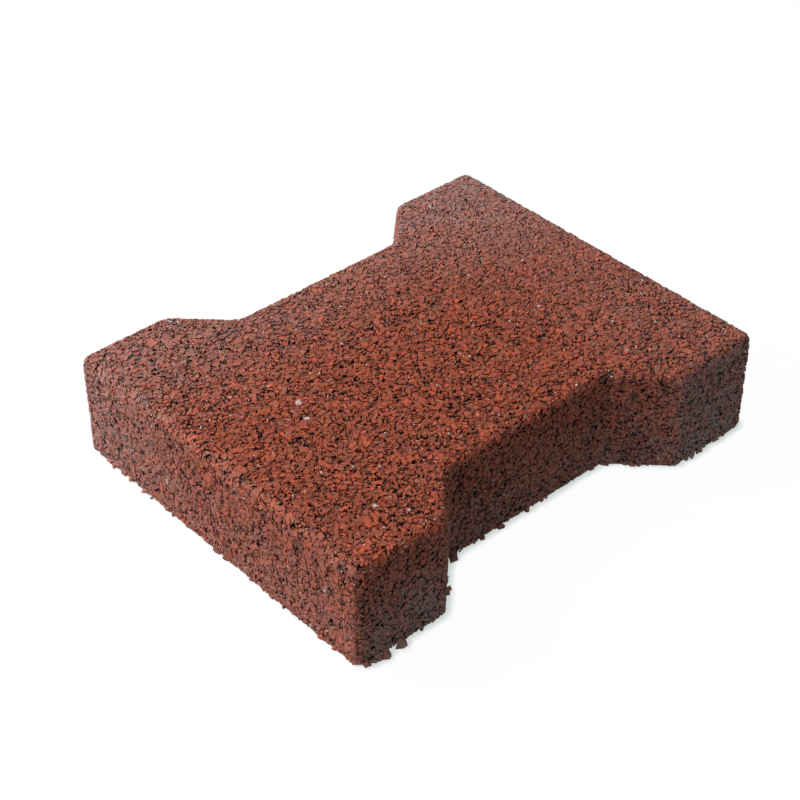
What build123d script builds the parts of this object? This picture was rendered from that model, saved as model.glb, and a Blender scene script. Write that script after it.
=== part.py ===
"""Interlocking dog-bone paver, pressed in one piece from bonded rubber granulate.

The paver lies flat on its underside, with its walking face up. Two wide heads are joined by
a narrower waist, and slanted flanks lead from the waist to the heads. All sizes are in
millimetres. The origin is in the middle of the underside, +X runs along the paver from head
to head, +Y runs across it and +Z points up.
"""

import os

from build123d import *

# Driving dimensions
paver_length = 200.0  # from the outer face of one head to that of the other
paver_width = 160.0  # across the heads
paver_thickness = 44.0  # from the underside to the walking face
notch_depth = 20.0  # how far the waist lies inside the sides of the heads
flank_run = 20.0  # how far a slanted flank runs along the paver
outer_edge_radius = 4.0  # round of the walking face's edge and of the heads' upright corners
waist_corner_radius = 8.0  # round of the hollow corner where a flank meets the waist
bottom_edge_radius = 1.0  # small round of the edge of the underside

# Two heads of neighbouring pavers lie side by side in one notch, so the waist is as long as
# two head sides, and the length is four head sides and two flanks.
head_side = (paver_length - 2 * flank_run) / 4

# Half sizes and the corners of the outline
half_length = paver_length / 2
half_width = paver_width / 2
half_waist_width = half_width - notch_depth
half_waist_length = half_length - head_side - flank_run
head_inner_end = half_length - head_side
half_notch_width = half_width - notch_depth / 2

with BuildPart() as paver:
    # Dog-bone outline: a rectangle with a notch cut into each long side
    with BuildSketch() as outline:
        Rectangle(paver_length, paver_width)
        for side in (1, -1):
            with BuildLine():
                Polyline(
                    (-head_inner_end, side * half_width),
                    (-half_waist_length, side * half_waist_width),
                    (half_waist_length, side * half_waist_width),
                    (head_inner_end, side * half_width),
                    close=True,
                )
            make_face(mode=Mode.SUBTRACT)
        hollow_corners = outline.vertices().filter_by(
            lambda corner: abs(corner.Y) < half_notch_width
        )
        fillet(hollow_corners, radius=waist_corner_radius)
    extrude(amount=paver_thickness)

    # One round runs along the edge of the walking face and down the upright corners of the heads
    walking_face_edges = paver.faces().sort_by(Axis.Z)[-1].edges()
    head_corners = paver.edges().filter_by(Axis.Z).filter_by(
        lambda edge: abs(edge.center().Y) > half_notch_width
    )
    fillet(walking_face_edges + head_corners, radius=outer_edge_radius)

    # Small round of the edge of the underside
    fillet(paver.faces().sort_by(Axis.Z)[0].edges(), radius=bottom_edge_radius)

paver.part.label = "paver"

os.makedirs("parts", exist_ok=True)
export_step(paver.part, "parts/paver.step")
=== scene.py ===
"""Looks of an interlocking rubber paver: pressed granules, dark binder and a studio stage.

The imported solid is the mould. The binder core lies a little inside it, granules of several
grades are pressed flat against it, and crumbs stand out along its lower edge.
"""

import math

import bmesh
import bpy
from bpy.props import FloatProperty, FloatVectorProperty, IntProperty, PointerProperty
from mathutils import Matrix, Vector


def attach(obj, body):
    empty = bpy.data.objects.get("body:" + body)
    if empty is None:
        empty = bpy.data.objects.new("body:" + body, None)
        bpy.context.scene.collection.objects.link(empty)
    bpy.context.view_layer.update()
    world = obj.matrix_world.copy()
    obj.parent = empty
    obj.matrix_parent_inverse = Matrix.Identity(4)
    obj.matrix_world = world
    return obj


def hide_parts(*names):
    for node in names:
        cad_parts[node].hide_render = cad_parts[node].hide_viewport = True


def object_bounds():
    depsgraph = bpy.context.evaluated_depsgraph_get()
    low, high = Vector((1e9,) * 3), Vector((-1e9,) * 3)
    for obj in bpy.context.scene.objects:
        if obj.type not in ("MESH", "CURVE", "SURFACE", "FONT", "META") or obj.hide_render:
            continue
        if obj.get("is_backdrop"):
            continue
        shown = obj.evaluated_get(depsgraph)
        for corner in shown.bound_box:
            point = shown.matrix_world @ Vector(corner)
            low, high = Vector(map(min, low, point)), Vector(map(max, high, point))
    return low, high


bl_info = {
    "name": "Rubber granulate paver",
    "version": (1, 0, 0),
    "blender": (4, 5, 0),
    "location": "View3D > Sidebar > Paver",
    "description": "Dresses a pressed rubber paver with granules, binder and a studio stage",
    "category": "Object",
}

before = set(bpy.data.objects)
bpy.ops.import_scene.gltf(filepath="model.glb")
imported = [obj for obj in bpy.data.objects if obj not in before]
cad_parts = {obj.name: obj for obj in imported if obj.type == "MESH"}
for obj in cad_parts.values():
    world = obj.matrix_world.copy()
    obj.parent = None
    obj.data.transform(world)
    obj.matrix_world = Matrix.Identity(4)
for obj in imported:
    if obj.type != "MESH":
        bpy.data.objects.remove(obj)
CAD_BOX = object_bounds()
NODE = "paver"
BODY = "root"

# Numbers that mark the sides of the mould
SIDES = {"top": 0, "underside": 1, "heads": 2, "flanks": 3}
# Pieces of granules: their side, the stretch along the paver that they cover, their coarseness
# and how full they fill their places
GRANULE_PIECES = {
    "granules_top_left": ("top", -1.0, 0.0, 0.83, 0.97),
    "granules_top_right": ("top", 0.0, 1.0, 0.83, 0.97),
    "granules_underside": ("underside", -1.0, 1.0, 1.15, 1.08),
    "granules_heads": ("heads", -1.0, 1.0, 0.90, 1.0),
    "granules_flanks_left": ("flanks", -1.0, 0.0, 0.71, 0.92),
    "granules_flanks_right": ("flanks", 0.0, 1.0, 0.71, 0.92),
}
# Grades of granules: how far their radius varies and how deep they sink, as shares of it
GRADES = {
    "coarse": (0.3, (0.05, 0.4)),
    "medium": (0.3, (0.05, 0.5)),
    "fine": (0.35, (0.1, 1.6)),
    "fleck": (0.5, (-0.2, 0.3)),
    "chip": (0.4, (0.0, 0.4)),
}
FLECK_PALENESS = (0.12, 0.92)  # how pale flecks are, before the power; the paleness stands partly for pale specks, partly for painted glints
FLECK_POWER = 1.7  # how rare the palest flecks are
CHIP_PALENESS = (0.15, 0.5)  # how pale the larger chips are
DULL = 0.01  # paleness under which a granule is no fleck or chip
PACKING = 3.0  # points that are tried on a square as wide as their spacing
MEDIUM_ROOM = 0.95  # share of a medium granule's radius that fine ones keep clear of
# Lumps that bulge from the near head and from the foot of the flank beside it: place, mean radius
LUMPS = (
    ((-0.0968, -0.0806, 0.0010), 0.0013),
    ((-0.0940, -0.0810, 0.0011), 0.0014),
    ((-0.0918, -0.0809, 0.0012), 0.0014),
    ((-0.0894, -0.0819, 0.0012), 0.0016),
    ((-0.0884, -0.0806, 0.0012), 0.0013),
    ((-0.0822, -0.0814, 0.0016), 0.0018),
    ((-0.0582, -0.0796, 0.0112), 0.0011),
    ((-0.0392, -0.0618, 0.0015), 0.0015),
)
# How deep loose crumbs sit in the lower edge of each side, as shares of their radius
CRUMB_DEPTHS = {"heads": (0.0, 0.7), "flanks": (-0.5, 0.2)}
CRUMB_SPREAD = 0.5  # how far a crumb's radius varies
CRUMB_CLUMPS = 130.0  # scale of the noise that gathers crumbs in clumps
CRUMB_GAPS = 0.43  # level of that noise under which the lower edge is bare
CRUMB_SEED = 507  # what the crumbs add to the seed
SIDE_SEED = 100  # what each side adds to the seed, times its number
# How uneven each side is, as a share of the drop, tilt and dip
RELIEF_SHARES = {"top": 1.0, "underside": 0.2, "heads": 1.0, "flanks": 1.25}
FLECK_SHARES = {"top": 1.0, "underside": 0.25, "heads": 0.9, "flanks": 0.2}  # flecks on each side
LEVEL_FACE_SHARE = 0.5  # a face whose normal rises or falls more than this is top or underside
HEAD_FACE_SHARE = 0.9  # a face whose normal points along the paver more than this is a head's
FLOOR_CLEARANCE = 2e-5  # height over the floor at which the lowest granules end
LOWNESS_POWER = 2.6  # how rare low granules are
WORN_STRETCH = (0.02, 0.14)  # x plus y where the worn corner of the walking face begins and ends

# Scales of the noises in the colours, as waves on a metre
PATCHES = 60.0
CLOUDS = 180.0
STAINS = 1300.0
VEINS = 2000.0
GRIT = 2600.0
NOISE_SPAN = (0.3, 0.7)  # the middle of a noise's values, where most of them lie
PATCH_SPREAD = 0.06  # how far broad patches change a granule's shade
VEIN_SPREAD = 0.22  # how far fine veins change a granule's shade
MOTTLE_SPREAD = (0.58, 1.46)  # least and greatest brightness of the veins
TONE_SPREAD = (0.88, 1.12)  # least and greatest brightness of a whole granule
CLOUD_SPREAD = (0.6, 1.4)  # least and greatest share of the dust and painted sheen in its clouds
STAIN_SPREAD = (0.3, 1.0, 2.8)  # how far stains change red, green and blue
ROUGHNESS = {"Least roughness": 0.58, "Most roughness": 0.92}
GRANULE_RELIEF = {"Strength": 0.5, "Distance": 0.0002}
BINDER_RELIEF = {"Strength": 0.8, "Distance": 0.0004}
GRANULE_SHINE = 0.5
BINDER_SHINE = 0.05
# shares of the film of dust and painted sheen, and of the painted sheen in the gaps, on granules and on
# binder
GRANULE_DUST_AND_SHEEN = {"Dust share": 1.0, "Fill share": 1.0}
BINDER_DUST_AND_SHEEN = {"Dust share": 0.2, "Fill share": 0.12}
BINDER_DARK = 0.5  # the darkest binder, as a share of its colour
PAINTED_SHADE_PIT_DEPTHS = (-0.0009, -0.00005)  # heights over the mould where the painted shade in a pit is darkest and where it ends
PAINTED_PIT_SHADE = 0.05  # brightness of the painted shade at the bottom of a pit
SHEEN_EVEN_SHADE = 0.93  # even brightness that the painted sheen gives granules in the worn corner
# Films of dust and of painted sheen: two places along a direction, and how thick the film is at each
# painted sheen: a pale veil on the ends, toward the back and toward the right
SHEEN_ON_ENDS = (0.092, 0.1005, 0.0, 0.05)
SHEEN_TOWARD_BACK = (0.0, 0.075, 0.0, 0.16)
SHEEN_TOWARD_RIGHT = (0.020, 0.090, 0.0, 0.085)
# partly dust, partly painted sheen: a pale film thickest at the foot of the sides and on the far head
DUST_AND_SHEEN_UP_THE_SIDES = (0.0, 0.041, 0.29, 0.045)
DUST_AND_SHEEN_ON_FAR_HEAD = (0.052, 0.066, 0.0, 0.18)
# painted sheen: paler gaps and evened granules toward the far corner
SHEEN_IN_GAPS = (0.02, 0.15, 0.0, 0.42)
# What is left of the dust and painted sheen on the sides: two places along a direction, and the share at
# each
LEFT_ON_HEADS = (0.055, 0.066, 0.48, 1.0)
LEFT_ON_TOP = (0.0405, 0.0435, 1.0, 0.0)
LEFT_UNDERNEATH = (0.0003, 0.0012, 0.3, 1.0)
LEFT_ON_ENDS = (0.090, 0.099, 1.0, 0.26)
LEFT_AT_BACK = (0.0, 0.05, 1.0, 0.35)

WHITE = (1.0, 1.0, 1.0, 1.0)
COOL_SKY = (0.64, 1.12, 1.26, 1.0)  # colour of the even light from all around
SKY_SWEEP = (0.15, 0.45)  # rise of a view at which the white ground begins to fade and ends
DIM_FLOOR = (0.22, 0.22, 0.22, 1.0)  # floor as the paver's sides see it
CONTACT_SHADOW = (0.55, 0.605, 0.57, 1.0)  # floor right beside the shaded sides
CONTACT_REACH = 0.0040  # width of that shadow
CONTACT_LIGHT = (0.40, 0.80)  # openness of the floor at which the shadow begins to fade and ends
TOWARD_KEY = (-0.60, 0.74, 0.30)  # side of the paver that keeps free of that shadow
WHITE_SHARE = 0.97  # share of plain white in the floor as the camera sees it
FLOOR_REACH = 8.0  # half of the floor's width
LIT_POINT = (0.0, 0.0, 0.02)  # where both lamps point
SENSOR_WIDTH = 36.0  # in millimetres


def length_property(name, description, default):
    """A setting that is a length."""
    return FloatProperty(name=name, description=description, default=default, unit="LENGTH")


def colour_property(name, description, default):
    """A setting that is a colour."""
    return FloatVectorProperty(name=name, description=description, default=default, subtype="COLOR")


def spot_property(name, description, default):
    """A setting that is a point in space."""
    return FloatVectorProperty(name=name, description=description, default=default, subtype="XYZ")


class PaverGranules(bpy.types.PropertyGroup):
    """Sizes of the granules and of the binder between them."""

    coarse_spacing: length_property("Coarse spacing", "Least distance between coarse granules", 0.00210)
    coarse_radius: length_property("Coarse radius", "Mean radius of a coarse granule", 0.00124)
    medium_spacing: length_property("Medium spacing", "Least distance between medium granules", 0.00102)
    medium_radius: length_property("Medium radius", "Mean radius of a medium granule", 0.00060)
    fine_spacing: length_property("Fine spacing", "Least distance between fine granules", 0.00070)
    fine_radius: length_property("Fine radius", "Mean radius of a fine granule", 0.00042)
    fleck_density: FloatProperty(
        name="Fleck density", description="Pale flecks on a square metre", default=32000.0)
    fleck_radius: length_property("Fleck radius", "Mean radius of a pale fleck", 0.00029)
    chip_density: FloatProperty(
        name="Pale chip density", description="Larger pale chips on a square metre", default=550.0)
    chip_radius: length_property("Pale chip radius", "Mean radius of a larger pale chip", 0.00075)
    proud: length_property("Proud", "How far the highest granules stand out of the mould face", 0.00045)
    drop: length_property("Drop", "How far the lowest granules lie under the highest", 0.0011)
    tilt: FloatProperty(
        name="Tilt", description="Greatest slope of a pressed face against the mould",
        default=0.17)
    dip: length_property("Dip", "How far a corner of a pressed face may lie under its level", 0.00024)
    wear: FloatProperty(
        name="Wear", description="Share of the relief worn off the far corner of the walking face",
        default=0.6, subtype="FACTOR")
    core_inset: length_property("Core inset", "How deep the binder lies under the mould face", 0.0013)
    foot_inset: length_property("Foot inset", "How deep the binder lies along the lower edge", 0.00035)
    foot_height: length_property(
        "Foot height", "Height over the floor where the binder's foot begins", 0.0030)
    crumb_density: FloatProperty(
        name="Crumb density", description="Crumbs on a square metre of the lower edge", default=420000.0)
    crumb_radius: length_property(
        "Crumb radius", "Mean radius of a crumb along the lower edge", 0.00095)
    crumb_height: length_property(
        "Crumb height", "Height of the band along the lower edge with crumbs", 0.0012)
    stray_share: FloatProperty(
        name="Stray crumbs", description="Share of the crumbs that stand out higher up",
        default=0.0045, subtype="FACTOR")
    seed: IntProperty(
        name="Seed", description="Seed of everything that is random", default=11)


class PaverColours(bpy.types.PropertyGroup):
    """Colours of the granules, binder and floor, as scene linear values."""

    dark: colour_property("Dark granule", "Colour of the darkest granules", (0.215, 0.0347, 0.0147))
    brown: colour_property("Brown granule", "Colour of the brown granules", (0.312, 0.0550, 0.0207))
    grey: colour_property("Grey granule", "Colour of the grey-brown granules", (0.262, 0.0700, 0.0310))
    red: colour_property("Red granule", "Colour of the brick red granules", (0.370, 0.0570, 0.0190))
    bright: colour_property(
        "Bright granule", "Colour of the brightest granules", (0.440, 0.0705, 0.0238))
    # pale flecks stand partly for pale specks and partly for painted glints
    fleck: colour_property("Fleck", "Colour of the pale flecks", (0.88, 0.82, 0.79))
    # the dust colour below also colours the painted sheen
    dust: colour_property("Dust", "Colour of the dust on the sides and edges", (0.50, 0.44, 0.42))
    binder: colour_property("Binder", "Colour of the binder in the gaps", (0.012, 0.006, 0.005))
    floor: colour_property("Floor", "Colour of the pale floor", (0.95, 0.95, 0.95))


class PaverStage(bpy.types.PropertyGroup):
    """Place of the camera and strength of the studio light."""

    azimuth: FloatProperty(
        name="Azimuth", description="Direction of the camera round the paver",
        default=math.radians(-41.77), subtype="ANGLE")
    elevation: FloatProperty(
        name="Elevation", description="Angle of the camera above the floor",
        default=math.radians(38.19), subtype="ANGLE")
    distance: length_property("Distance", "From the camera to its target", 0.71714)
    target: spot_property("Target", "Point that the camera looks at", (-0.00939, 0.00042, 0.022))
    lens: FloatProperty(
        name="Lens", description="Focal length in millimetres on a 36 mm sensor",
        default=84.39)
    key_power: FloatProperty(
        name="Key light", description="Power of the soft key light in watts", default=13.9)
    key_size: length_property("Key size", "Width of the soft key light", 0.7)
    key_place: spot_property("Key place", "Where the key light hangs", (-0.49, 0.58, 0.823))
    fill_power: FloatProperty(
        name="Fill light", description="Power of the weak fill light in watts", default=3.25)
    fill_size: length_property("Fill size", "Width of the weak fill light", 0.6)
    fill_place: spot_property("Fill place", "Where the fill light stands", (-1.08, -0.17, 0.48))
    world_strength: FloatProperty(
        name="Sky light", description="Strength of the even light from all around",
        default=0.27)


def add(tree, kind, inputs=(), **settings):
    """Add a node with its settings, and feed its inputs with values or with other sockets."""
    made = tree.nodes.new(kind)
    for name, value in settings.items():
        setattr(made, name, value)
    live = [socket for socket in made.inputs if socket.enabled]
    for key, value in dict(inputs).items():
        socket = live[key] if isinstance(key, int) else made.inputs[key]
        if isinstance(value, bpy.types.NodeSocket):
            tree.links.new(value, socket)
        elif value is not None:
            socket.default_value = value
    return made


def out(made, name=None):
    """The named output of a node, or the first one in use."""
    if name is not None:
        return made.outputs[name]
    return next(socket for socket in made.outputs if socket.enabled)


def maths(tree, operation, *values, clamp=False):
    """A sum on numbers."""
    return out(add(tree, "ShaderNodeMath", enumerate(values), operation=operation, use_clamp=clamp))


def vectors(tree, operation, *values):
    """A sum on vectors."""
    return out(add(tree, "ShaderNodeVectorMath", enumerate(values), operation=operation))


def axes(tree, vector):
    """The parts of a vector along X, Y and Z."""
    parts = add(tree, "ShaderNodeSeparateXYZ", {0: vector})
    return [out(parts, axis) for axis in "XYZ"]


class GranuleTree:
    """A Geometry Nodes tree under construction, with its named inputs and running seed."""

    def __init__(self, name, inputs):
        self.tree = bpy.data.node_groups.new(name, "GeometryNodeTree")
        new_socket = self.tree.interface.new_socket
        new_socket("Geometry", in_out="OUTPUT", socket_type="NodeSocketGeometry")
        new_socket("Mould", in_out="INPUT", socket_type="NodeSocketGeometry")
        for label, kind in inputs.items():
            new_socket(label, in_out="INPUT", socket_type="NodeSocket" + kind)
        self.inputs = self.add("NodeGroupInput").outputs
        self.randoms = 0

    def add(self, kind, inputs=(), **settings):
        return add(self.tree, kind, inputs, **settings)

    def geometry(self, kind, inputs=(), **settings):
        """A node that hands on geometry."""
        return out(self.add(kind, inputs, **settings))

    def maths(self, operation, *values, clamp=False):
        return maths(self.tree, operation, *values, clamp=clamp)

    def vectors(self, operation, *values):
        return vectors(self.tree, operation, *values)

    def axes(self, vector):
        return axes(self.tree, vector)

    def scaled(self, vector, factor):
        """A vector made longer or shorter."""
        return out(self.add("ShaderNodeVectorMath", {0: vector, "Scale": factor}, operation="SCALE"))

    def joined(self, parts):
        """Several geometries in one."""
        join = self.add("GeometryNodeJoinGeometry")
        for part in parts:
            self.tree.links.new(part, join.inputs[0])
        return out(join)

    def next_seed(self):
        """A seed that nothing else in the tree uses."""
        self.randoms += 1
        return self.maths("ADD", self.inputs["Seed"], self.randoms)

    def random(self, low, high, identity=None, kind="FLOAT"):
        """A random value for each point, with a seed of its own."""
        feed = {0: low, 1: high, 2: identity, 3: self.next_seed()}
        return out(self.add("FunctionNodeRandomValue", feed, data_type=kind))

    def store(self, geometry, name, value, kind="FLOAT", domain="POINT"):
        """Keep a value on the geometry under a name."""
        feed = {"Geometry": geometry, "Name": name, "Value": value}
        return self.geometry("GeometryNodeStoreNamedAttribute", feed, data_type=kind, domain=domain)

    def read(self, name, kind="FLOAT"):
        """A value that was kept under a name."""
        return out(self.add("GeometryNodeInputNamedAttribute", {"Name": name}, data_type=kind))

    def on_side(self, number):
        """Whether a face of the mould belongs to the side with a number."""
        return out(self.add("FunctionNodeCompare", {0: self.read("side", "INT"), 1: number},
                            data_type="INT", operation="EQUAL"))

    def index(self):
        return out(self.add("GeometryNodeInputIndex"))

    def position(self):
        return out(self.add("GeometryNodeInputPosition"))

    def normal(self):
        return out(self.add("GeometryNodeInputNormal"))

    def finish(self, geometry, material):
        """End the tree with real, flat-shaded faces and their material."""
        flat = self.geometry("GeometryNodeSetShadeSmooth", {"Geometry": geometry, "Shade Smooth": False})
        real = self.geometry("GeometryNodeRealizeInstances", {"Geometry": flat})
        done = self.geometry("GeometryNodeSetMaterial", {"Geometry": real, "Material": material})
        self.add("NodeGroupOutput", {"Geometry": done})
        return self.tree


def side_of(normal):
    """The number of the mould's side that a face with this normal belongs to."""
    if abs(normal.z) > LEVEL_FACE_SHARE:
        return SIDES["top"] if normal.z > 0 else SIDES["underside"]
    return SIDES["heads"] if abs(normal.x) > HEAD_FACE_SHARE else SIDES["flanks"]


def mould_skin():
    """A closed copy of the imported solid's surface, with each face's side marked on it."""
    merge_distance = 1e-6
    shape = bmesh.new()
    shape.from_mesh(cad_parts[NODE].data)
    bmesh.ops.remove_doubles(shape, verts=shape.verts, dist=merge_distance)
    foot = bpy.context.scene.paver_granules.foot_height
    bmesh.ops.bisect_plane(
        shape, geom=[*shape.verts, *shape.edges, *shape.faces],
        plane_co=(0.0, 0.0, foot), plane_no=(0.0, 0.0, 1.0))
    side = shape.faces.layers.int.new("side")
    for face in shape.faces:
        face.normal_update()
        face[side] = side_of(face.normal)
        face.smooth = False
    mesh = bpy.data.meshes.new("mould_skin")
    shape.to_mesh(mesh)
    shape.free()
    return mesh


def grown(name, tree, values):
    """Run a tree on the mould and return what it makes as a plain mesh object."""
    skin = mould_skin()
    piece = bpy.data.objects.new(name, skin)
    bpy.context.scene.collection.objects.link(piece)
    modifier = piece.modifiers.new("granules", "NODES")
    modifier.node_group = tree
    for item in tree.interface.items_tree:
        if item.in_out == "INPUT" and item.name in values:
            modifier[item.identifier] = values[item.name]
    graph = bpy.context.evaluated_depsgraph_get()
    mesh = bpy.data.meshes.new_from_object(piece.evaluated_get(graph), depsgraph=graph)
    piece.modifiers.remove(modifier)
    piece.data = mesh
    mesh.name = name
    bpy.data.meshes.remove(skin)
    if not mesh.polygons:
        raise RuntimeError(name + " came out empty")
    return piece


def grade_points(made, laid, radius, spread, sink_share, keep_clear=(), pale=0.0, small=0.0):
    """Points of one grade of granules on the mould, clear of the coarser grades."""
    points = made.store(out(laid, "Points"), "grain_normal", out(laid, "Normal"), "FLOAT_VECTOR")
    for coarser, distance in keep_clear:
        near = made.add("GeometryNodeProximity", {"Geometry": coarser}, target_element="POINTS")
        close = made.maths("LESS_THAN", out(near, "Distance"), distance)
        points = made.geometry("GeometryNodeDeleteGeometry", {"Geometry": points, "Selection": close})
    size = made.maths("MULTIPLY", radius, made.random(1.0 - spread, 1.0 + spread))
    points = made.store(points, "grain_radius", size)
    points = made.store(points, "grain_pale", pale)
    points = made.store(points, "grain_small", small)
    depth = made.maths("MULTIPLY", made.read("grain_radius"), made.random(*sink_share))
    inward = made.scaled(made.read("grain_normal", "FLOAT_VECTOR"), made.maths("MULTIPLY", depth, -1.0))
    return made.geometry("GeometryNodeSetPosition", {"Geometry": points, "Offset": inward})


def packed_points(made, selection, spacing):
    """Points that keep a least distance from each other."""
    return made.add("GeometryNodeDistributePointsOnFaces", {
        "Mesh": made.inputs["Mould"], "Selection": selection, "Distance Min": spacing,
        "Density Max": made.maths("DIVIDE", PACKING, made.maths("MULTIPLY", spacing, spacing)),
        "Seed": made.next_seed()}, distribute_method="POISSON")


def loose_points(made, selection, density):
    """Points strewn without any order."""
    return made.add("GeometryNodeDistributePointsOnFaces", {
        "Mesh": made.inputs["Mould"], "Selection": selection, "Density": density,
        "Seed": made.next_seed()}, distribute_method="RANDOM")


def granules_on(made, points):
    """Angular granules on points: cut blocks, turned, stretched and knocked out of shape."""
    points = made.store(points, "grain_centre", made.position(), "FLOAT_VECTOR")
    points = made.store(points, "grain_shade", made.random(0.0, 1.0))
    points = made.store(points, "grain_tone", made.random(0.0, 1.0))
    points = made.store(points, "grain_number", made.index())
    side = 1.55
    cube = made.geometry("GeometryNodeMeshCube", {"Size": (side, side, side)})
    prism = made.geometry("GeometryNodeMeshCylinder", {
        "Vertices": 5, "Radius": 1.15, "Depth": 1.5}, fill_type="NGON")
    blocks = made.add("GeometryNodeGeometryToInstance")
    for block in (cube, prism):
        made.tree.links.new(block, blocks.inputs[0])
    chip = made.geometry("GeometryNodeMeshUVSphere", {"Segments": 4, "Rings": 2, "Radius": 1.2})
    upright = made.geometry("FunctionNodeAlignRotationToVector", {
        "Vector": made.read("grain_normal", "FLOAT_VECTOR")}, axis="Z")
    lean = 0.5
    turn = made.random((-lean, -lean, 0.0), (lean, lean, math.tau), kind="FLOAT_VECTOR")
    turned = made.geometry("FunctionNodeRotateRotation", {
        "Rotation": upright,
        "Rotate By": made.geometry("FunctionNodeEulerToRotation", {"Euler": turn})},
        rotation_space="LOCAL")
    least_stretch = (0.95, 0.65, 0.7)
    most_stretch = (1.4, 1.05, 1.0)
    stretch = made.random(least_stretch, most_stretch, kind="FLOAT_VECTOR")
    small = made.read("grain_small")
    shapes = []
    for test, shape, several in (("LESS_THAN", out(blocks), True), ("GREATER_THAN", chip, False)):
        shapes.append(made.geometry("GeometryNodeInstanceOnPoints", {
            "Points": points, "Selection": made.maths(test, small, 0.5), "Instance": shape,
            "Pick Instance": several, "Instance Index": made.random(0, 1, kind="INT"),
            "Rotation": turned, "Scale": made.scaled(stretch, made.read("grain_radius"))}))
    real = made.geometry("GeometryNodeRealizeInstances", {"Geometry": made.joined(shapes)})
    reach = 0.30
    knock = made.random((-reach,) * 3, (reach,) * 3, made.index(), kind="FLOAT_VECTOR")
    return made.geometry("GeometryNodeSetPosition", {
        "Geometry": real, "Offset": made.scaled(knock, made.read("grain_radius"))})


def height_over(made):
    """Height of each point over the mould, and the mould's normal there."""
    near = made.add("GeometryNodeProximity", {"Geometry": made.inputs["Mould"]}, target_element="FACES")
    up = made.geometry("GeometryNodeSampleNearestSurface", {
        "Mesh": made.inputs["Mould"], "Value": made.normal()}, data_type="FLOAT_VECTOR")
    rise = made.vectors("SUBTRACT", made.position(), out(near, "Position"))
    return made.vectors("DOT_PRODUCT", rise, up), up


def arm_from_centre(made):
    """From a granule's centre to each of its points."""
    return made.vectors("SUBTRACT", made.position(), made.read("grain_centre", "FLOAT_VECTOR"))


def pressed(made, granules):
    """Granules pressed against the mould: what stands over a granule's own level is flattened."""
    number = made.read("grain_number")
    lowness = made.maths("POWER", made.random(0.0, 1.0, number), LOWNESS_POWER)
    dull = made.maths("LESS_THAN", made.read("grain_pale"), DULL)
    lowness = made.maths("MULTIPLY", lowness, dull)
    x, y, _ = made.axes(made.read("grain_centre", "FLOAT_VECTOR"))
    relief = made.geometry("ShaderNodeMapRange", {
        "Value": made.maths("ADD", x, y), "From Min": WORN_STRETCH[0], "From Max": WORN_STRETCH[1],
        "To Min": 1.0, "To Max": made.maths("SUBTRACT", 1.0, made.inputs["Wear"])})
    drop = made.maths("MULTIPLY", made.maths("MULTIPLY", lowness, relief), made.inputs["Drop"])
    level = made.maths("SUBTRACT", made.inputs["Proud"], drop)
    slope = made.random((-1.0, -1.0, -1.0), (1.0, 1.0, 1.0), number, kind="FLOAT_VECTOR")
    lean = made.vectors("DOT_PRODUCT", slope, arm_from_centre(made))
    lean = made.maths("MULTIPLY", made.maths("MULTIPLY", lean, made.inputs["Tilt"]), relief)
    dip = made.maths("MULTIPLY", made.inputs["Dip"], made.random(0.0, 1.0, made.index()))
    limit = made.maths("MINIMUM", made.maths("ADD", level, lean), made.inputs["Proud"])
    limit = made.maths("SUBTRACT", limit, made.maths("MULTIPLY", dip, relief))
    height, up = height_over(made)
    granules = made.store(granules, "grain_height", made.maths("MINIMUM", height, limit))
    excess = made.maths("MAXIMUM", made.maths("SUBTRACT", height, limit), 0.0)
    down = made.scaled(up, made.maths("MULTIPLY", excess, -1.0))
    return made.geometry("GeometryNodeSetPosition", {"Geometry": granules, "Offset": down})


def above_floor(made, granules):
    """Nothing lies lower than just above the floor."""
    floor = made.vectors("MAXIMUM", made.position(), (-1.0, -1.0, FLOOR_CLEARANCE))
    return made.geometry("GeometryNodeSetPosition", {"Geometry": granules, "Position": floor})


def mapped(made, granules):
    """A bake map: each granule has a cell of its own, its hidden faces in a corner of the cell."""
    radius_share = 0.26
    middle = 0.54
    least = 0.18
    most = 0.94
    corner_share = 0.06
    corner_margin = 0.03
    slanted = (0.36, 0.48, 0.80)
    number = made.read("grain_number")
    last = out(made.add("GeometryNodeAttributeStatistic", {
        "Geometry": granules, "Attribute": number}, domain="POINT"), "Max")
    cells = made.maths("CEIL", made.maths("SQRT", made.maths("ADD", last, 1.0)))
    column = made.maths("MODULO", number, cells)
    row = made.maths("FLOOR", made.maths("DIVIDE", number, cells))
    outward = made.read("grain_normal", "FLOAT_VECTOR")
    along = made.vectors("NORMALIZE", made.vectors("CROSS_PRODUCT", outward, slanted))
    across = made.vectors("CROSS_PRODUCT", outward, along)
    shrink = made.maths("DIVIDE", radius_share, made.read("grain_radius"))
    arm = made.scaled(arm_from_centre(made), shrink)
    facing = made.add("GeometryNodeFieldOnDomain", {
        0: made.vectors("DOT_PRODUCT", made.normal(), outward)}, domain="FACE", data_type="FLOAT")
    hidden = made.maths("LESS_THAN", out(facing), 0.0)
    places = []
    for axis, cell in ((along, column), (across, row)):
        place = made.maths("ADD", made.vectors("DOT_PRODUCT", arm, axis), middle)
        place = made.maths("MINIMUM", made.maths("MAXIMUM", place, least), most)
        corner = made.maths("MULTIPLY_ADD", place, corner_share, corner_margin)
        place = out(made.add("ShaderNodeMix", {0: hidden, 1: place, 2: corner}))
        places.append(made.maths("DIVIDE", made.maths("ADD", cell, place), cells))
    spot = out(made.add("ShaderNodeCombineXYZ", {0: places[0], 1: places[1], 2: 0.0}))
    return made.store(granules, "OFBake", spot, "FLOAT2", "CORNER")


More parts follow.
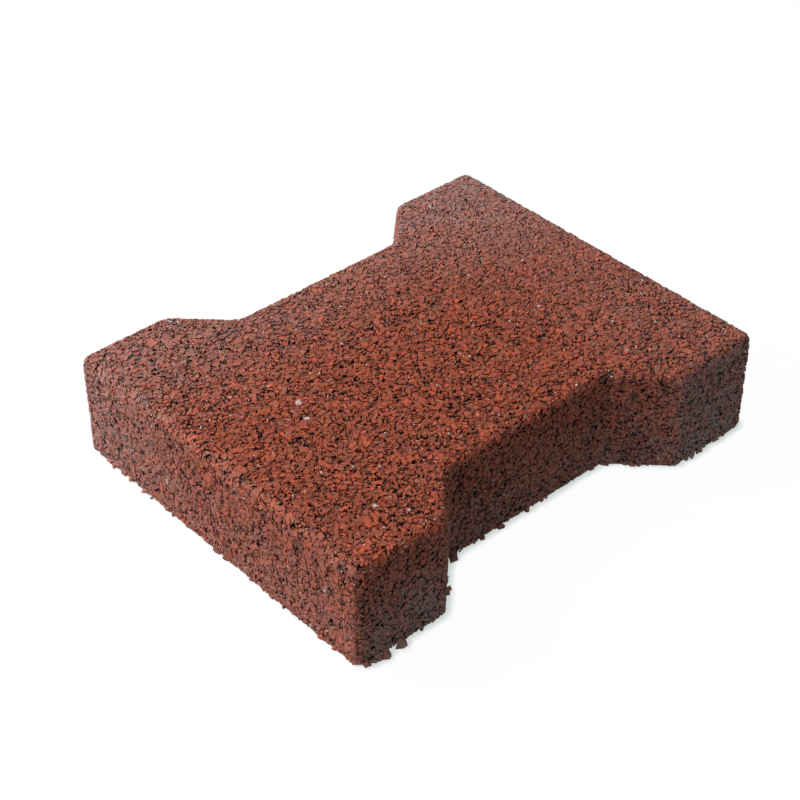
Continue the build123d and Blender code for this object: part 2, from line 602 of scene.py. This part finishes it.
def granule_tree(material):
    """Tree that covers one side of the mould with pressed granules of all grades."""
    sizes = ("From X", "To X", "Coarse spacing", "Coarse radius", "Medium spacing", "Medium radius",
             "Fine spacing", "Fine radius", "Fleck density", "Fleck radius", "Chip density",
             "Chip radius", "Proud", "Drop", "Tilt", "Dip", "Wear")
    made = GranuleTree("Pressed granules", {
        "Side": "Int", **dict.fromkeys(sizes, "Float"), "Seed": "Int"})
    inputs = made.inputs
    here = made.on_side(inputs["Side"])
    coarse = grade_points(made, packed_points(made, here, inputs["Coarse spacing"]),
                          inputs["Coarse radius"], *GRADES["coarse"])
    near_coarse = (coarse, inputs["Coarse radius"])
    medium = grade_points(made, packed_points(made, here, inputs["Medium spacing"]),
                          inputs["Medium radius"], *GRADES["medium"], [near_coarse])
    near_medium = (medium, made.maths("MULTIPLY", inputs["Medium radius"], MEDIUM_ROOM))
    fine = grade_points(made, packed_points(made, here, inputs["Fine spacing"]),
                        inputs["Fine radius"], *GRADES["fine"], [near_coarse, near_medium], small=1.0)
    flecks = grade_points(made, loose_points(made, here, inputs["Fleck density"]),
                          inputs["Fleck radius"], *GRADES["fleck"],
                          pale=made.maths("POWER", made.random(*FLECK_PALENESS), FLECK_POWER),
                          small=1.0)
    chips = grade_points(made, loose_points(made, here, inputs["Chip density"]),
                         inputs["Chip radius"], *GRADES["chip"], pale=made.random(*CHIP_PALENESS))
    joined = made.joined((coarse, medium, fine, flecks, chips))
    along, _, _ = made.axes(made.position())
    outside = made.maths("MAXIMUM", made.maths("LESS_THAN", along, inputs["From X"]),
                         made.maths("SUBTRACT", 1.0, made.maths("LESS_THAN", along, inputs["To X"])))
    joined = made.geometry("GeometryNodeDeleteGeometry", {"Geometry": joined, "Selection": outside})
    granules = above_floor(made, pressed(made, granules_on(made, joined)))
    return made.finish(mapped(made, granules), material)


def crumb_tree(material):
    """Tree that sets loose crumbs in clumps along the lower edge, a few higher up, and the lumps."""
    made = GranuleTree("Edge crumbs", {
        "Density": "Float", "Radius": "Float", "Height": "Float", "Stray share": "Float", "Seed": "Int"})
    inputs = made.inputs
    sides = []
    for side, depths in CRUMB_DEPTHS.items():
        strewn = loose_points(made, made.on_side(SIDES[side]), inputs["Density"])
        sides.append(grade_points(made, strewn, inputs["Radius"], CRUMB_SPREAD, depths))
    _, _, height = made.axes(made.position())
    high = made.maths("GREATER_THAN", height, inputs["Height"])
    kept = made.maths("LESS_THAN", made.random(0.0, 1.0), inputs["Stray share"])
    spare = made.maths("GREATER_THAN", made.maths("SUBTRACT", high, kept), 0.5)
    clumps = out(made.add("ShaderNodeTexNoise", {"Scale": CRUMB_CLUMPS, "Detail": 1.0}), 0)
    spare = made.maths("MAXIMUM", spare, made.maths("LESS_THAN", clumps, CRUMB_GAPS))
    crumbs = made.geometry("GeometryNodeDeleteGeometry", {
        "Geometry": made.joined(sides), "Selection": spare})
    pieces = [crumbs]
    frontward = (0.0, -1.0, 0.0)
    for place, radius in LUMPS:
        lump = made.geometry("GeometryNodePoints", {"Count": 1, "Position": place, "Radius": radius})
        lump = made.store(lump, "grain_normal", frontward, "FLOAT_VECTOR")
        pieces.append(made.store(lump, "grain_radius", radius))
    granules = above_floor(made, granules_on(made, made.joined(pieces)))
    return made.finish(mapped(made, granules), material)


def core_tree(material):
    """Tree that draws the mould in to a closed core of binder, with a foot along the lower edge."""
    made = GranuleTree("Binder core", {"Inset": "Float", "Foot inset": "Float", "Foot height": "Float"})
    inputs = made.inputs
    _, _, height = made.axes(made.position())
    depth = made.geometry("ShaderNodeMapRange", {
        "Value": height, "From Min": 0.0, "From Max": inputs["Foot height"],
        "To Min": inputs["Foot inset"], "To Max": inputs["Inset"]})
    inward = made.scaled(made.normal(), made.maths("MULTIPLY", depth, -1.0))
    core = made.geometry("GeometryNodeSetPosition", {"Geometry": inputs["Mould"], "Offset": inward})
    return made.finish(box_mapped(made, core), material)


def box_mapped(made, core):
    """A bake map of the core: its upright faces in a strip below, then its top and its underside."""
    across_scale = 4.6
    level_scale = 2.4
    level_middle = 0.56
    level_shift = 0.22
    strip_scale = 2.0
    strip_margin = 0.01
    x, y, z = made.axes(made.position())
    facing = made.geometry("GeometryNodeFieldOnDomain", {
        0: made.normal()}, domain="FACE", data_type="FLOAT_VECTOR")
    facing_x, facing_y, facing_z = made.axes(facing)
    upright = made.maths("LESS_THAN", made.maths("ABSOLUTE", facing_z), LEVEL_FACE_SHARE)
    endways = made.maths("GREATER_THAN", made.maths("ABSOLUTE", facing_x),
                         made.maths("ABSOLUTE", facing_y))
    across = out(made.add("ShaderNodeMix", {0: made.maths("MULTIPLY", upright, endways), 1: x, 2: y}))
    across = made.maths("MULTIPLY_ADD", across, across_scale, 0.5)
    level = made.maths("MULTIPLY_ADD", made.maths("SIGN", facing_z), -level_shift, level_middle)
    level = made.maths("MULTIPLY_ADD", y, level_scale, level)
    strip = made.maths("MULTIPLY_ADD", z, strip_scale, strip_margin)
    up = out(made.add("ShaderNodeMix", {0: upright, 1: level, 2: strip}))
    spot = out(made.add("ShaderNodeCombineXYZ", {0: across, 1: up, 2: 0.0}))
    return made.store(core, "OFBake", spot, "FLOAT2", "CORNER")


def principled(name):
    """A new material and its shader."""
    material = bpy.data.materials.new(name)
    material.use_nodes = True
    return material, material.node_tree, material.node_tree.nodes["Principled BSDF"]


def attribute(tree, name):
    """A value that the geometry carries."""
    return out(add(tree, "ShaderNodeAttribute", attribute_name=name, attribute_type="GEOMETRY"), "Fac")


def mixed(tree, factor, first, second):
    """Two colours mixed."""
    return out(add(tree, "ShaderNodeMix", {0: factor, 1: first, 2: second}, data_type="RGBA"))


def noise(tree, place, scale, detail, **more):
    """A noise over the paver: its node, whose first output is a value and whose second is a colour."""
    return add(tree, "ShaderNodeTexNoise", {"Vector": place, "Scale": scale, "Detail": detail, **more})


def ranged(tree, value, low, high):
    """A noise's values stretched to run between two others."""
    return out(add(tree, "ShaderNodeMapRange", {
        "Value": value, "From Min": NOISE_SPAN[0], "From Max": NOISE_SPAN[1],
        "To Min": low, "To Max": high}))


def shader_group(name, inputs, outputs):
    """A new shader node group with named sockets, and what comes in through them."""
    tree = bpy.data.node_groups.new(name, "ShaderNodeTree")
    for direction, sockets in (("INPUT", inputs), ("OUTPUT", outputs)):
        for label, kind in sockets.items():
            tree.interface.new_socket(label, in_out=direction, socket_type="NodeSocket" + kind)
    return tree, add(tree, "NodeGroupInput").outputs


def rubber_grain():
    """Shared effect: fine mottling, stains, roughness and relief of cut rubber."""
    name = "Rubber grain"
    if name in bpy.data.node_groups:
        return bpy.data.node_groups[name]
    tree, inputs = shader_group(name, dict.fromkeys(ROUGHNESS, "Float"), {
        "Patch": "Float", "Mottle": "Float", "Roughness": "Float", "Height": "Float", "Stain": "Color"})
    place = out(add(tree, "ShaderNodeTexCoord"), "Object")
    patch = out(noise(tree, place, PATCHES, 1.0), 0)
    veins = out(noise(tree, place, VEINS, 3.0, Roughness=0.8), 0)
    grit = out(noise(tree, place, GRIT, 1.0), 0)
    rough = add(tree, "ShaderNodeMapRange", {
        "Value": grit, "To Min": inputs["Least roughness"], "To Max": inputs["Most roughness"]})
    stain = vectors(tree, "SUBTRACT", out(noise(tree, place, STAINS, 1.0), "Color"), (0.5, 0.5, 0.5))
    stain = vectors(tree, "MULTIPLY_ADD", stain, STAIN_SPREAD, (1.0, 1.0, 1.0))
    add(tree, "NodeGroupOutput", {
        "Patch": patch, "Mottle": veins, "Roughness": out(rough), "Height": grit, "Stain": stain})
    return tree


def dust_and_sheen_film():
    """Shared effect: how thick dust and painted sheen lie on the paver, and how far painted sheen fills
    the gaps.
    """
    name = "Dust film"
    if name in bpy.data.node_groups:
        return bpy.data.node_groups[name]
    tree, inputs = shader_group(name, dict.fromkeys(GRANULE_DUST_AND_SHEEN, "Float"),
                                {"Dust": "Float", "Fill": "Float"})
    place = out(add(tree, "ShaderNodeTexCoord"), "Object")
    x, y, z = axes(tree, place)
    end = maths(tree, "ABSOLUTE", x)

    def film(value, limits):
        feed = dict(zip(("From Min", "From Max", "To Min", "To Max"), limits))
        return out(add(tree, "ShaderNodeMapRange", {"Value": value, **feed},
                       interpolation_type="SMOOTHSTEP"))

    # partly dust, partly painted sheen: a film up the sides, thickest at the foot, and on the far head
    dust = maths(tree, "MULTIPLY", film(z, DUST_AND_SHEEN_UP_THE_SIDES), film(end, LEFT_ON_HEADS))
    dust = maths(tree, "MAXIMUM", dust, film(x, DUST_AND_SHEEN_ON_FAR_HEAD))
    for value, limits in ((z, LEFT_ON_TOP), (z, LEFT_UNDERNEATH),
                          (end, LEFT_ON_ENDS), (y, LEFT_AT_BACK)):
        dust = maths(tree, "MULTIPLY", dust, film(value, limits))
    # painted sheen on the ends, toward the back and toward the right
    for value, limits in ((end, SHEEN_ON_ENDS), (y, SHEEN_TOWARD_BACK), (x, SHEEN_TOWARD_RIGHT)):
        dust = maths(tree, "ADD", dust, film(value, limits))
    clouds = ranged(tree, out(noise(tree, place, CLOUDS, 3.0), 0), *CLOUD_SPREAD)
    dust = maths(tree, "MULTIPLY", dust, clouds)
    # painted sheen that pales the gaps toward the far corner
    fill = film(maths(tree, "ADD", x, y), SHEEN_IN_GAPS)
    add(tree, "NodeGroupOutput", {
        "Dust": maths(tree, "MULTIPLY", dust, inputs["Dust share"]),
        "Fill": maths(tree, "MULTIPLY", fill, inputs["Fill share"])})
    return tree


def finished(tree, shader, colour, grain, relief, shine):
    """Feed a rubber shader: its colour, roughness, fine relief and shine."""
    bump = add(tree, "ShaderNodeBump", {"Height": out(grain, "Height"), **relief})
    fed = {"Base Color": colour, "Roughness": out(grain, "Roughness"), "Normal": out(bump)}
    for socket, value in fed.items():
        tree.links.new(value, shader.inputs[socket])
    shader.inputs["Specular IOR Level"].default_value = shine


def granule_material(colours):
    """Rubber granules: each has its own red or brown, with mottling and fine relief."""
    material, tree, shader = principled("rubber_granules")
    grain = add(tree, "ShaderNodeGroup", ROUGHNESS, node_tree=rubber_grain())
    dust = add(tree, "ShaderNodeGroup", GRANULE_DUST_AND_SHEEN, node_tree=dust_and_sheen_film())
    patch = ranged(tree, out(grain, "Patch"), -PATCH_SPREAD, PATCH_SPREAD)
    vein = ranged(tree, out(grain, "Mottle"), -VEIN_SPREAD, VEIN_SPREAD)
    shade = maths(tree, "ADD", patch, vein)
    shade = maths(tree, "ADD", attribute(tree, "grain_shade"), shade, clamp=True)
    ramp = add(tree, "ShaderNodeValToRGB", {"Fac": shade})
    stops = [(0.0, colours.dark), (0.12, colours.brown), (0.30, colours.brown), (0.38, colours.grey),
             (0.48, colours.grey), (0.56, colours.brown), (0.74, colours.red), (1.0, colours.bright)]
    points = ramp.color_ramp.elements
    while len(points) < len(stops):
        points.new(1.0)
    for point, (place, colour) in zip(points, stops):
        point.position = place
        point.color = (*colour, 1.0)
    tone = add(tree, "ShaderNodeMapRange", {
        "Value": attribute(tree, "grain_tone"), "To Min": TONE_SPREAD[0], "To Max": TONE_SPREAD[1]})
    mottle = ranged(tree, out(grain, "Mottle"), *MOTTLE_SPREAD)
    # painted shade: granules darken the deeper they lie in the pits
    painted_shade = add(tree, "ShaderNodeMapRange", {
        "Value": attribute(tree, "grain_height"), "From Min": PAINTED_SHADE_PIT_DEPTHS[0], "From Max": PAINTED_SHADE_PIT_DEPTHS[1],
        "To Min": PAINTED_PIT_SHADE}, interpolation_type="SMOOTHSTEP")
    strength = maths(tree, "MULTIPLY", maths(tree, "MULTIPLY", out(tone), mottle), out(painted_shade))
    # painted sheen: toward the far corner the granules are evened to one brightness
    strength = out(add(tree, "ShaderNodeMix", {0: out(dust, "Fill"), 1: strength, 2: SHEEN_EVEN_SHADE}))
    tinted = out(add(tree, "ShaderNodeVectorMath", {
        0: out(ramp, "Color"), "Scale": strength}, operation="SCALE"))
    tinted = vectors(tree, "MULTIPLY", tinted, out(grain, "Stain"))
    # film of dust and painted sheen
    under_dust_and_sheen = mixed(tree, out(dust, "Dust"), tinted, (*colours.dust, 1.0))
    # pale flecks: partly pale specks, partly painted glints
    colour = mixed(tree, attribute(tree, "grain_pale"), under_dust_and_sheen, (*colours.fleck, 1.0))
    finished(tree, shader, colour, grain, GRANULE_RELIEF, GRANULE_SHINE)
    return material


def binder_material(colours):
    """Dark binder in the gaps between granules."""
    material, tree, shader = principled("dark_binder")
    grain = add(tree, "ShaderNodeGroup", ROUGHNESS, node_tree=rubber_grain())
    dust = add(tree, "ShaderNodeGroup", BINDER_DUST_AND_SHEEN, node_tree=dust_and_sheen_film())
    dark = (*(BINDER_DARK * part for part in colours.binder), 1.0)
    colour = mixed(tree, out(grain, "Mottle"), dark, (*colours.binder, 1.0))
    # dust and painted sheen pale the binder, most toward the far corner
    thin = maths(tree, "ADD", out(dust, "Fill"), out(dust, "Dust"))
    colour = mixed(tree, thin, colour, (*colours.dust, 1.0))
    finished(tree, shader, colour, grain, BINDER_RELIEF, BINDER_SHINE)
    return material


class PAVER_OT_binder_core(bpy.types.Operator):
    """Make the binder core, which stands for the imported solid"""

    bl_idname = "paver.binder_core"
    bl_label = "Binder core"

    def execute(self, context):
        sizes = context.scene.paver_granules
        tree = core_tree(binder_material(context.scene.paver_colours))
        core = grown("binder_core", tree, {
            "Inset": sizes.core_inset, "Foot inset": sizes.foot_inset, "Foot height": sizes.foot_height})
        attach(core, BODY)
        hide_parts(NODE)
        return {"FINISHED"}


class PAVER_OT_granules(bpy.types.Operator):
    """Cover each side of the mould with pressed granules"""

    bl_idname = "paver.granules"
    bl_label = "Granules"

    def execute(self, context):
        sizes = context.scene.paver_granules
        tree = granule_tree(granule_material(context.scene.paver_colours))
        for name, (side, from_x, to_x, coarseness, fullness) in GRANULE_PIECES.items():
            relief = RELIEF_SHARES[side]
            flecks = FLECK_SHARES[side]
            values = {
                "Side": SIDES[side], "From X": from_x, "To X": to_x,
                "Fleck density": sizes.fleck_density * flecks, "Fleck radius": sizes.fleck_radius,
                "Chip density": sizes.chip_density * flecks, "Chip radius": sizes.chip_radius,
                "Proud": sizes.proud if side != "underside" else 0.0, "Drop": sizes.drop * relief,
                "Tilt": sizes.tilt * relief, "Dip": sizes.dip * relief,
                "Wear": sizes.wear if side == "top" else 0.0,
                "Seed": sizes.seed + SIDE_SEED * SIDES[side]}
            for grade in ("Coarse", "Medium", "Fine"):
                spacing = getattr(sizes, grade.lower() + "_spacing")
                radius = getattr(sizes, grade.lower() + "_radius")
                values[grade + " spacing"] = spacing * coarseness
                values[grade + " radius"] = radius * coarseness * fullness
            piece = grown(name, tree, values)
            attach(piece, BODY)
        return {"FINISHED"}


class PAVER_OT_crumbs(bpy.types.Operator):
    """Set loose crumbs and lumps along the lower edge"""

    bl_idname = "paver.crumbs"
    bl_label = "Edge crumbs"

    def execute(self, context):
        sizes = context.scene.paver_granules
        piece = grown("edge_crumbs", crumb_tree(bpy.data.materials["rubber_granules"]), {
            "Density": sizes.crumb_density, "Radius": sizes.crumb_radius, "Height": sizes.crumb_height,
            "Stray share": sizes.stray_share, "Seed": sizes.seed + CRUMB_SEED})
        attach(piece, BODY)
        return {"FINISHED"}


def camera_direction(stage):
    """Unit vector from the target to the camera."""
    flat = math.cos(stage.elevation)
    rise = math.sin(stage.elevation)
    return Vector((math.sin(stage.azimuth) * flat, -math.cos(stage.azimuth) * flat, rise))


def aimed(obj, place, target):
    """Put an object at a place and turn its view to a target."""
    obj.location = place
    obj.rotation_euler = (Vector(target) - Vector(place)).to_track_quat("-Z", "Y").to_euler()
    bpy.context.scene.collection.objects.link(obj)
    return obj


def seen_directly(tree):
    """One for rays from the camera and from mirrors and glass, and zero for scattered light."""
    path = add(tree, "ShaderNodeLightPath")
    rays = [out(path, "Is " + kind + " Ray") for kind in ("Camera", "Glossy", "Transmission")]
    return maths(tree, "MAXIMUM", maths(tree, "MAXIMUM", rays[0], rays[1]), rays[2])


def floor_material(colours):
    """Pale floor: nearly white to the camera with a faint shadow, and dim to the paver's sides."""
    material, tree, shader = principled("pale_floor")
    shader.inputs["Base Color"].default_value = DIM_FLOOR
    shader.inputs["Roughness"].default_value = 1.0
    shader.inputs["Specular IOR Level"].default_value = 0.0
    plain = add(tree, "ShaderNodeBsdfDiffuse", {"Color": (*colours.floor, 1.0)})
    toward_key = out(add(tree, "ShaderNodeCombineXYZ", enumerate(TOWARD_KEY)))
    close = add(tree, "ShaderNodeAmbientOcclusion", {
        "Distance": CONTACT_REACH, "Normal": toward_key}, samples=8)
    clear = add(tree, "ShaderNodeMapRange", {
        "Value": out(close, "AO"), "From Min": CONTACT_LIGHT[0], "From Max": CONTACT_LIGHT[1]})
    glow = add(tree, "ShaderNodeEmission", {
        "Color": mixed(tree, out(clear), CONTACT_SHADOW, WHITE), "Strength": 1.0})
    white = add(tree, "ShaderNodeMixShader", {0: WHITE_SHARE, 1: out(plain), 2: out(glow)})
    whole = add(tree, "ShaderNodeMixShader", {0: seen_directly(tree), 1: out(shader), 2: out(white)})
    tree.links.new(out(whole), tree.nodes["Material Output"].inputs["Surface"])
    return material


def studio_world(stage):
    """Cool, even light from all around, with a white ground behind the paver."""
    world = bpy.data.worlds.new("studio")
    world.use_nodes = True
    tree = world.node_tree
    direct = seen_directly(tree)
    _, _, rise = axes(tree, out(add(tree, "ShaderNodeTexCoord"), "Generated"))
    sweep = add(tree, "ShaderNodeMapRange", {
        "Value": rise, "From Min": SKY_SWEEP[0], "From Max": SKY_SWEEP[1], "To Min": 1.0,
        "To Max": stage.world_strength}, interpolation_type="SMOOTHSTEP")
    strength = add(tree, "ShaderNodeMix", {0: direct, 1: stage.world_strength, 2: out(sweep)})
    background = tree.nodes["Background"]
    tree.links.new(mixed(tree, direct, COOL_SKY, WHITE), background.inputs["Color"])
    tree.links.new(out(strength), background.inputs["Strength"])
    return world


class PAVER_OT_stage(bpy.types.Operator):
    """Make the floor, the studio light and the camera"""

    bl_idname = "paver.stage"
    bl_label = "Stage"

    def execute(self, context):
        scene = context.scene
        stage = scene.paver_stage
        scene.view_settings.view_transform = "Standard"

        camera = bpy.data.cameras.new("camera")
        camera.lens = stage.lens
        camera.sensor_width = SENSOR_WIDTH
        target = Vector(stage.target)
        place = target + camera_direction(stage) * stage.distance
        scene.camera = aimed(bpy.data.objects.new("camera", camera), place, target)

        for name in ("key", "fill"):
            light = bpy.data.lights.new(name, "AREA")
            light.energy = getattr(stage, name + "_power")
            light.size = getattr(stage, name + "_size")
            aimed(bpy.data.objects.new(name, light), getattr(stage, name + "_place"), LIT_POINT)

        mesh = bpy.data.meshes.new("floor")
        signs = ((-1, -1), (1, -1), (1, 1), (-1, 1))
        corners = [(FLOOR_REACH * x, FLOOR_REACH * y, 0.0) for x, y in signs]
        mesh.from_pydata(corners, [], [(0, 1, 2, 3)])
        floor = bpy.data.objects.new("floor", mesh)
        scene.collection.objects.link(floor)
        mesh.materials.append(floor_material(scene.paver_colours))
        floor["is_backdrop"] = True

        scene.world = studio_world(stage)
        return {"FINISHED"}


class PAVER_PT_sidebar(bpy.types.Panel):
    """Lists the paver's pieces and sizes"""

    bl_label = "Paver"
    bl_idname = "PAVER_PT_sidebar"
    bl_space_type = "VIEW_3D"
    bl_region_type = "UI"
    bl_category = "Paver"

    def draw(self, context):
        for group in GROUPS:
            settings = getattr(context.scene, group)
            for name in settings.__annotations__:
                self.layout.prop(settings, name)
        for operator in OPERATORS:
            self.layout.operator(operator.bl_idname)


GROUPS = {"paver_granules": PaverGranules, "paver_colours": PaverColours, "paver_stage": PaverStage}
OPERATORS = (PAVER_OT_binder_core, PAVER_OT_granules, PAVER_OT_crumbs, PAVER_OT_stage)
CLASSES = (*GROUPS.values(), *OPERATORS, PAVER_PT_sidebar)


def register():
    for cls in CLASSES:
        bpy.utils.register_class(cls)
    for name, group in GROUPS.items():
        setattr(bpy.types.Scene, name, PointerProperty(type=group))


def unregister():
    for name in GROUPS:
        delattr(bpy.types.Scene, name)
    for cls in reversed(CLASSES):
        bpy.utils.unregister_class(cls)


def main():
    register()
    bpy.ops.paver.binder_core()
    bpy.ops.paver.granules()
    bpy.ops.paver.crumbs()
    bpy.ops.paver.stage()
    corners = {"cad": CAD_BOX, "visual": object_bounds()}
    {name: [list(corner) for corner in box] for name, box in corners.items()}


if __name__ == "__main__":
    main()
